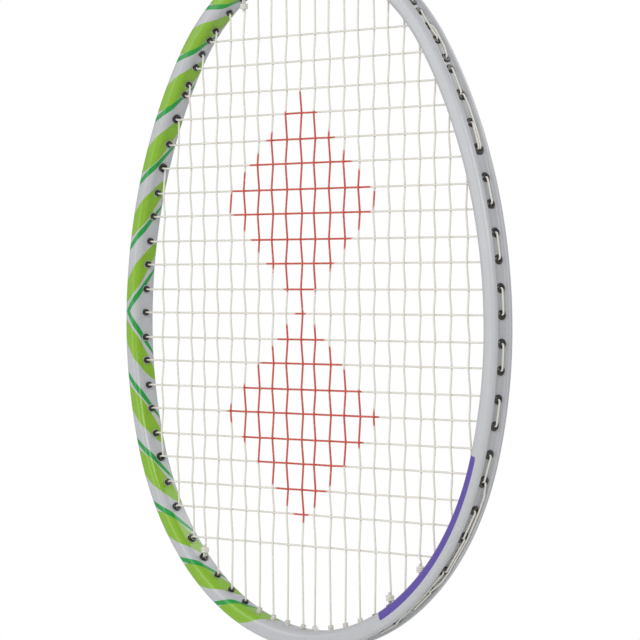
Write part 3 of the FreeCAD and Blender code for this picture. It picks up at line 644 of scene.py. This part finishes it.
def shaft_paint():
    """Pearl with lime and green bands that wind down from the head and up from the handle."""
    nodes = Nodes("shaft_paint")
    z = nodes.parts()[2]
    angle = turned_angle(nodes)
    colour = PEARL
    for low, high, turns, shift, tint in (
        (330, 424, 2, 0.0, LIME),
        (352, 424, 2, 0.16, GREEN),
        (214, 290, -2, 0.35, LIME),
        (214, 262, -2, 0.55, GREEN),
    ):
        share = nodes.ramp(z, low * MM, high * MM)
        wound = nodes.math("ADD", angle, nodes.math("MULTIPLY", share, turns / 2))
        phase = nodes.math("FRACT", nodes.math("ADD", wound, shift))
        spread = nodes.math("ABSOLUTE", nodes.math("SUBTRACT", phase, 0.5))
        width = share if turns > 0 else nodes.math("SUBTRACT", 1.0, share)
        width = nodes.math("MULTIPLY", width, 0.24 if tint is LIME else 0.12)
        inside = nodes.math("SUBTRACT", width, spread)
        within = nodes.math("GREATER_THAN", z, low * MM)
        within = nodes.math("MULTIPLY", within, nodes.math("LESS_THAN", z, (high + 60) * MM))
        band = nodes.math("MULTIPLY", nodes.ramp(inside, -0.004, 0.004), within)
        colour = nodes.mix(band, colour, tint)
    ring = nodes.math("ABSOLUTE", nodes.math("SUBTRACT", z, 0.2155))
    colour = nodes.mix(nodes.ramp(ring, 2.0 * MM, 2.1 * MM, 1.0, 0.0), colour, VIOLET)
    return lacquer(nodes, colour)


def cone_plastic():
    nodes = Nodes("cone_plastic")
    z = nodes.parts()[2]
    ragged = nodes.math("ADD", z, nodes.ramp(nodes.noise(0.1), 0.3, 0.7, -1.5 * MM, 1.5 * MM))
    share = nodes.ramp(ragged, 0.183, 0.211)
    nodes.bump(nodes.noise(1.5, 3.0), 0.015, 0.3)
    return nodes.finish(
        Base_Color=nodes.mix(share, linear("188A3E"), linear("7FA92B")),
        Roughness=nodes.ramp(nodes.noise(0.6), 0.3, 0.7, 0.28, 0.38),
    )


def butt_plastic():
    nodes = Nodes("butt_plastic")
    grain = nodes.cells(1.6)
    nodes.bump(grain, 0.04, 0.4)
    return nodes.finish(
        Base_Color=nodes.mix(nodes.ramp(grain, 0.1, 0.6), linear("1C1C1E"), linear("2A2A2C")),
        Roughness=nodes.ramp(nodes.noise(0.8), 0.3, 0.7, 0.42, 0.58),
    )


def core_wood():
    nodes = Nodes("core_wood")
    grain = nodes.noise(1.2, 5.0, stretch=(1, 1, 0.04))
    rings = nodes.noise(0.25, 2.0, stretch=(1, 1, 0.1))
    tone = nodes.mix(nodes.ramp(rings, 0.3, 0.7), linear("C9A46E"), linear("B5884F"))
    nodes.bump(grain, 0.08, 0.4)
    return nodes.finish(
        Base_Color=nodes.mix(nodes.ramp(grain, 0.4, 0.65), tone, linear("8A6236")),
        Roughness=nodes.ramp(grain, 0.3, 0.7, 0.55, 0.75),
    )


def steel():
    nodes = Nodes("steel")
    scratch = nodes.noise(3.0, 3.0)
    nodes.bump(scratch, 0.01, 0.3)
    return nodes.finish(
        Base_Color=nodes.mix(nodes.ramp(scratch, 0.3, 0.7), linear("A9ABAD"), linear("8D8F92")),
        Metallic=1.0,
        Roughness=nodes.ramp(nodes.noise(1.0), 0.3, 0.7, 0.25, 0.4),
    )


def rounded_octagon(out, radius=2.6):
    """Points round the handle's bevelled outline, this far out from the core's flats."""
    half_x, half_y = CORE_HALF_X + out, CORE_HALF_Y + out
    cut = CORE_BEVEL + out * (2 - math.sqrt(2))
    quarter = [(half_x, half_y - cut), (half_x - cut, half_y)]
    corners = quarter + [(-x, y) for x, y in quarter[::-1]]
    corners += [(-x, -y) for x, y in quarter] + [(x, -y) for x, y in quarter[::-1]]
    points = []
    for index, corner in enumerate(corners):
        corner = np.array(corner)
        before = np.array(corners[index - 1]) - corner
        after = np.array(corners[(index + 1) % 8]) - corner
        before, after = before / np.linalg.norm(before), after / np.linalg.norm(after)
        bend = math.pi / 4
        centre = corner + (before + after) / np.linalg.norm(before + after) * radius / math.cos(bend / 2)
        start = corner + before * radius * math.tan(bend / 2) - centre
        for step in range(4):
            points.append(centre + np.array(Matrix.Rotation(bend * step / 3, 2) @ Vector(start)))
        end = corner + after * radius * math.tan(bend / 2)
        following = np.array(corners[(index + 1) % 8])
        last = following - after * radius * math.tan(bend / 2)
        count = 8
        points += [end + (last - end) * step / count for step in range(1, count)]
    return np.array(points)


def flare(height):
    """How far the handle's flats stand out at a height, towards the butt."""
    return FLARE_OUT * max(0.0, (FLARE_FOOT + FLARE_HEIGHT - height) / FLARE_HEIGHT)


def wrap_thickness(height, share):
    """Thickness of the wound band: an overlap at each turn's lower edge, pressed flat at its end."""
    phase = ((height / GRIP_PITCH) - share) % 1.0
    across = phase * GRIP_PITCH
    rise = 1 / (1 + math.exp(-(across - 0.5) / 0.13))
    settle = math.exp(-(((max(across - 1.0, 0)) / 3.2) ** 2))
    fall = 1 / (1 + math.exp((across - GRIP_PITCH + 0.25) / 0.1))
    crown = 0.12 * math.sin(math.pi * phase)
    return 1.08 + (0.42 * settle + crown) * rise * fall


def grip_wrap():
    """The handle's wound band: a helix of overlapping turns round the bevelled core."""
    low, high = (corner[2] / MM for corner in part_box("grip_band"))
    heights = np.arange(low, high, 0.45)
    heights = np.append(heights[heights < high - 0.2], high)
    columns = len(rounded_octagon(0.0))
    rows = []
    for height in heights:
        outline = wrapped_ring(height, columns)
        rows.append(np.column_stack([outline, np.full(columns, height)]))
    for height in (high, FLARE_FOOT + FLARE_HEIGHT, low):
        outline = rounded_octagon(flare(height) + 0.03)
        rows.append(np.column_stack([outline, np.full(columns, height)]))
    grid = np.array(rows)
    faces = closed_grid_faces(len(rows), columns)
    return new_piece("grip_wrap", grid.reshape(-1, 3), faces, 60.0)


def wrapped_ring(height, columns):
    inner = rounded_octagon(flare(height))
    outer = rounded_octagon(flare(height) + 2.0)
    thickness = np.array([wrap_thickness(height, column / columns) for column in range(columns)])
    return inner + (outer - inner) * (thickness / 2.0)[:, None]


HOLES_ROUND = 88.0 / 3.0  # perforations in one turn of the grip
HOLE_ROW = 2.875  # from one row of perforations to the next


def grip_rubber():
    """Tacky black wrap: fine leather-like grain with rows of small perforations, each painted near-black
    inside as painted shade in its hollow.
    """
    nodes = Nodes("grip_rubber")
    z = nodes.parts()[2]
    angle = turned_angle(nodes)
    around = nodes.math("MULTIPLY", angle, HOLES_ROUND)
    wound = nodes.math("SUBTRACT", z, nodes.math("MULTIPLY", angle, GRIP_PITCH * MM))
    up = nodes.math("DIVIDE", wound, HOLE_ROW * MM)
    row = nodes.math("FLOOR", up)
    offset = nodes.math("MULTIPLY", nodes.math("MODULO", row, 2.0), 0.5)
    across = nodes.math("SUBTRACT", nodes.math("FRACT", nodes.math("ADD", around, offset)), 0.5)
    level = nodes.math("SUBTRACT", nodes.math("FRACT", up), 0.5)
    squares = nodes.math("ADD", nodes.math("POWER", across, 2.0), nodes.math("POWER", level, 2.0))
    distance = nodes.math("SQRT", squares)
    hole = nodes.ramp(distance, 0.11, 0.16, 1.0, 0.0)
    grain = nodes.cells(2.2)
    height = nodes.math("SUBTRACT", nodes.math("MULTIPLY", grain, 0.25), hole)
    nodes.bump(height, 0.35, 0.6)
    tone = nodes.mix(nodes.ramp(nodes.noise(0.08), 0.3, 0.7), linear("232325"), linear("2E2E30"))
    return nodes.finish(
        # The perforations are painted near-black: painted shade in each hole's hollow, which is only a
        # bump dent.
        Base_Color=nodes.mix(hole, tone, linear("0A0A0B")),
        Roughness=nodes.ramp(nodes.noise(0.5), 0.3, 0.7, 0.5, 0.66),
        Specular_IOR_Level=0.4,
    )


def tape_band():
    """Finishing tape: one turn and a lapped end over the top of the wrap."""
    low, high = (corner[2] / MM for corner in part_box("finishing_tape"))
    rows = []
    outer = np.linspace(low, high, 15)
    for height in outer:
        rows.append(tape_ring(height, low, high, True))
    for height in (high, low):
        rows.append(tape_ring(height, low, high, False))
    columns = len(rows[0])
    grid = np.array(rows)
    return new_piece("tape_band", grid.reshape(-1, 3), closed_grid_faces(len(rows), columns), 60.0)


def tape_ring(height, low, high, outside):
    inner = rounded_octagon(0.0)
    outer = rounded_octagon(2.0)
    columns = len(inner)
    share = np.arange(columns) / columns
    lapped = 1 / (1 + np.exp(-(share - 0.55) / 0.004)) * (1 / (1 + np.exp((share - 0.72) / 0.004)))
    edge = min(height - low, high - height)
    soft = 0.05 * math.exp(-edge / 0.6)
    out = 1.72 + 0.12 * lapped - soft if outside else np.full(columns, 1.45)
    ring = inner + (outer - inner) * (out / 2.0)[:, None]
    return np.column_stack([ring, np.full(columns, height)])


def tape_fabric():
    nodes = Nodes("tape_fabric")
    _, _, z = nodes.parts()
    angle = turned_angle(nodes)
    warp = nodes.math("SINE", nodes.math("MULTIPLY", angle, 2 * math.pi * 190))
    weft = nodes.math("SINE", nodes.math("MULTIPLY", z, 2 * math.pi / (0.5 * MM)))
    weave = nodes.math("MULTIPLY", warp, weft)
    nodes.bump(weave, 0.03, 0.6)
    # The weave's colour follows its relief: painted shade in the dips between threads and painted
    # highlight on the raised crossings.
    shade = nodes.ramp(weave, -1.0, 1.0)
    return nodes.finish(
        Base_Color=nodes.mix(shade, linear("4B3A8A"), linear("6652AC")),
        Roughness=nodes.ramp(nodes.noise(1.0), 0.3, 0.7, 0.6, 0.8),
    )


# ---------------------------------------------------------------- putting it together


def give(node_names, material):
    """A better material for CAD nodes that stay as they are."""
    for name in node_names:
        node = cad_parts[name]
        node.data.materials.clear()
        node.data.materials.append(material)


def place(piece, material, node, slot):
    """A built piece rides on the racket's one body and stands for a CAD node."""
    piece.data.materials.clear()
    piece.data.materials.append(material)
    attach(piece, "root")
    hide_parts(node)


def dress():
    place(hoop(), hoop_paint(), "head_frame", "painted_hoop")
    place(grip_wrap(), grip_rubber(), "grip_band", "grip")
    place(tape_band(), tape_fabric(), "finishing_tape", "tape")
    nylon, clear, gut, paint = black_nylon(), clear_nylon(), string_gut(), shaft_paint()
    grommets = [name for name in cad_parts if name.startswith("grommets")]
    give([name for name in grommets if "clear" in name], clear)
    give([name for name in grommets if "clear" not in name], nylon)
    give(["main_string", "cross_string", "main_string_knots", "cross_string_knots"], gut)
    give(["shaft", "t_joint"], paint)
    give(["t_joint_core"], nylon)
    give(["cone_cap"], cone_plastic())
    give(["butt_plate"], butt_plastic())
    give(["handle_core"], core_wood())
    give(["grip_tacks"], steel())


# ---------------------------------------------------------------- studio

CAMERA_AZIMUTH = 49.63
CAMERA_DISTANCE = 1.2688
CAMERA_HEIGHT = 0.5574
CAMERA_TURN = 0.19  # degrees by which it looks to the right of the racket's axis
CAMERA_TILT = 0.681  # degrees below level
CAMERA_ROLL = -0.165
CAMERA_LENS = 199.7


def camera():
    data = bpy.data.cameras.new("camera")
    data.lens = CAMERA_LENS
    data.sensor_width = 36.0
    data.clip_start = 0.01
    made = bpy.data.objects.new("camera", data)
    bpy.context.scene.collection.objects.link(made)
    azimuth = math.radians(CAMERA_AZIMUTH)
    out = CAMERA_DISTANCE
    place = Vector((out * math.sin(azimuth), -out * math.cos(azimuth), CAMERA_HEIGHT))
    heading = Matrix.Rotation(math.radians(CAMERA_AZIMUTH - CAMERA_TURN), 4, "Z")
    tilt = Matrix.Rotation(math.radians(90 - CAMERA_TILT), 4, "X")
    roll = Matrix.Rotation(math.radians(CAMERA_ROLL), 4, "Z")
    made.matrix_world = Matrix.Translation(place) @ heading @ tilt @ roll
    bpy.context.scene.camera = made


def soft_light(name, azimuth, elevation, distance, size, power):
    data = bpy.data.lights.new(name, "AREA")
    data.shape = "DISK"
    data.size = size
    data.energy = power
    made = bpy.data.objects.new(name, data)
    bpy.context.scene.collection.objects.link(made)
    a, e = math.radians(azimuth), math.radians(elevation)
    target = Vector((0, 0, 0.45))
    away = Vector((math.sin(a) * math.cos(e), -math.cos(a) * math.cos(e), math.sin(e)))
    made.location = target + away * distance
    made.rotation_euler = away.to_track_quat("Z", "Y").to_euler()


WORLD_LIGHT = 0.55


def studio():
    world = bpy.data.worlds.new("studio")
    bpy.context.scene.world = world
    world.use_nodes = True
    tree = world.node_tree
    background = tree.nodes["Background"]
    path = tree.nodes.new("ShaderNodeLightPath")
    strength = tree.nodes.new("ShaderNodeMapRange")
    strength.inputs["To Min"].default_value = WORLD_LIGHT
    strength.inputs["To Max"].default_value = 1.0
    tree.links.new(path.outputs["Is Camera Ray"], strength.inputs["Value"])
    tree.links.new(strength.outputs["Result"], background.inputs["Strength"])
    background.inputs["Color"].default_value = (1, 1, 1, 1)
    soft_light("key", 40, 25, 2.2, 1.3, 26)
    soft_light("fill", -35, 15, 2.4, 1.6, 14)
    soft_light("back", 170, 40, 2.4, 1.6, 16)
    bpy.context.scene.view_settings.view_transform = "Standard"


def floor():
    """A plain pale disc under the racket."""
    made = bmesh.new()
    bmesh.ops.create_circle(made, cap_ends=True, segments=96, radius=1.6)
    for vertex in made.verts:
        vertex.co.z = -0.0002
    mesh = bpy.data.meshes.new("floor")
    made.to_mesh(mesh)
    made.free()
    piece = bpy.data.objects.new("floor", mesh)
    bpy.context.scene.collection.objects.link(piece)
    nodes = Nodes("floor_paper")
    tone = nodes.mix(nodes.ramp(nodes.noise(0.004), 0.3, 0.7), linear("F2F2F0"), linear("EDEDEC"))
    mesh.materials.append(nodes.finish(Base_Color=tone, Roughness=0.8))


dress()
camera()
studio()
floor()
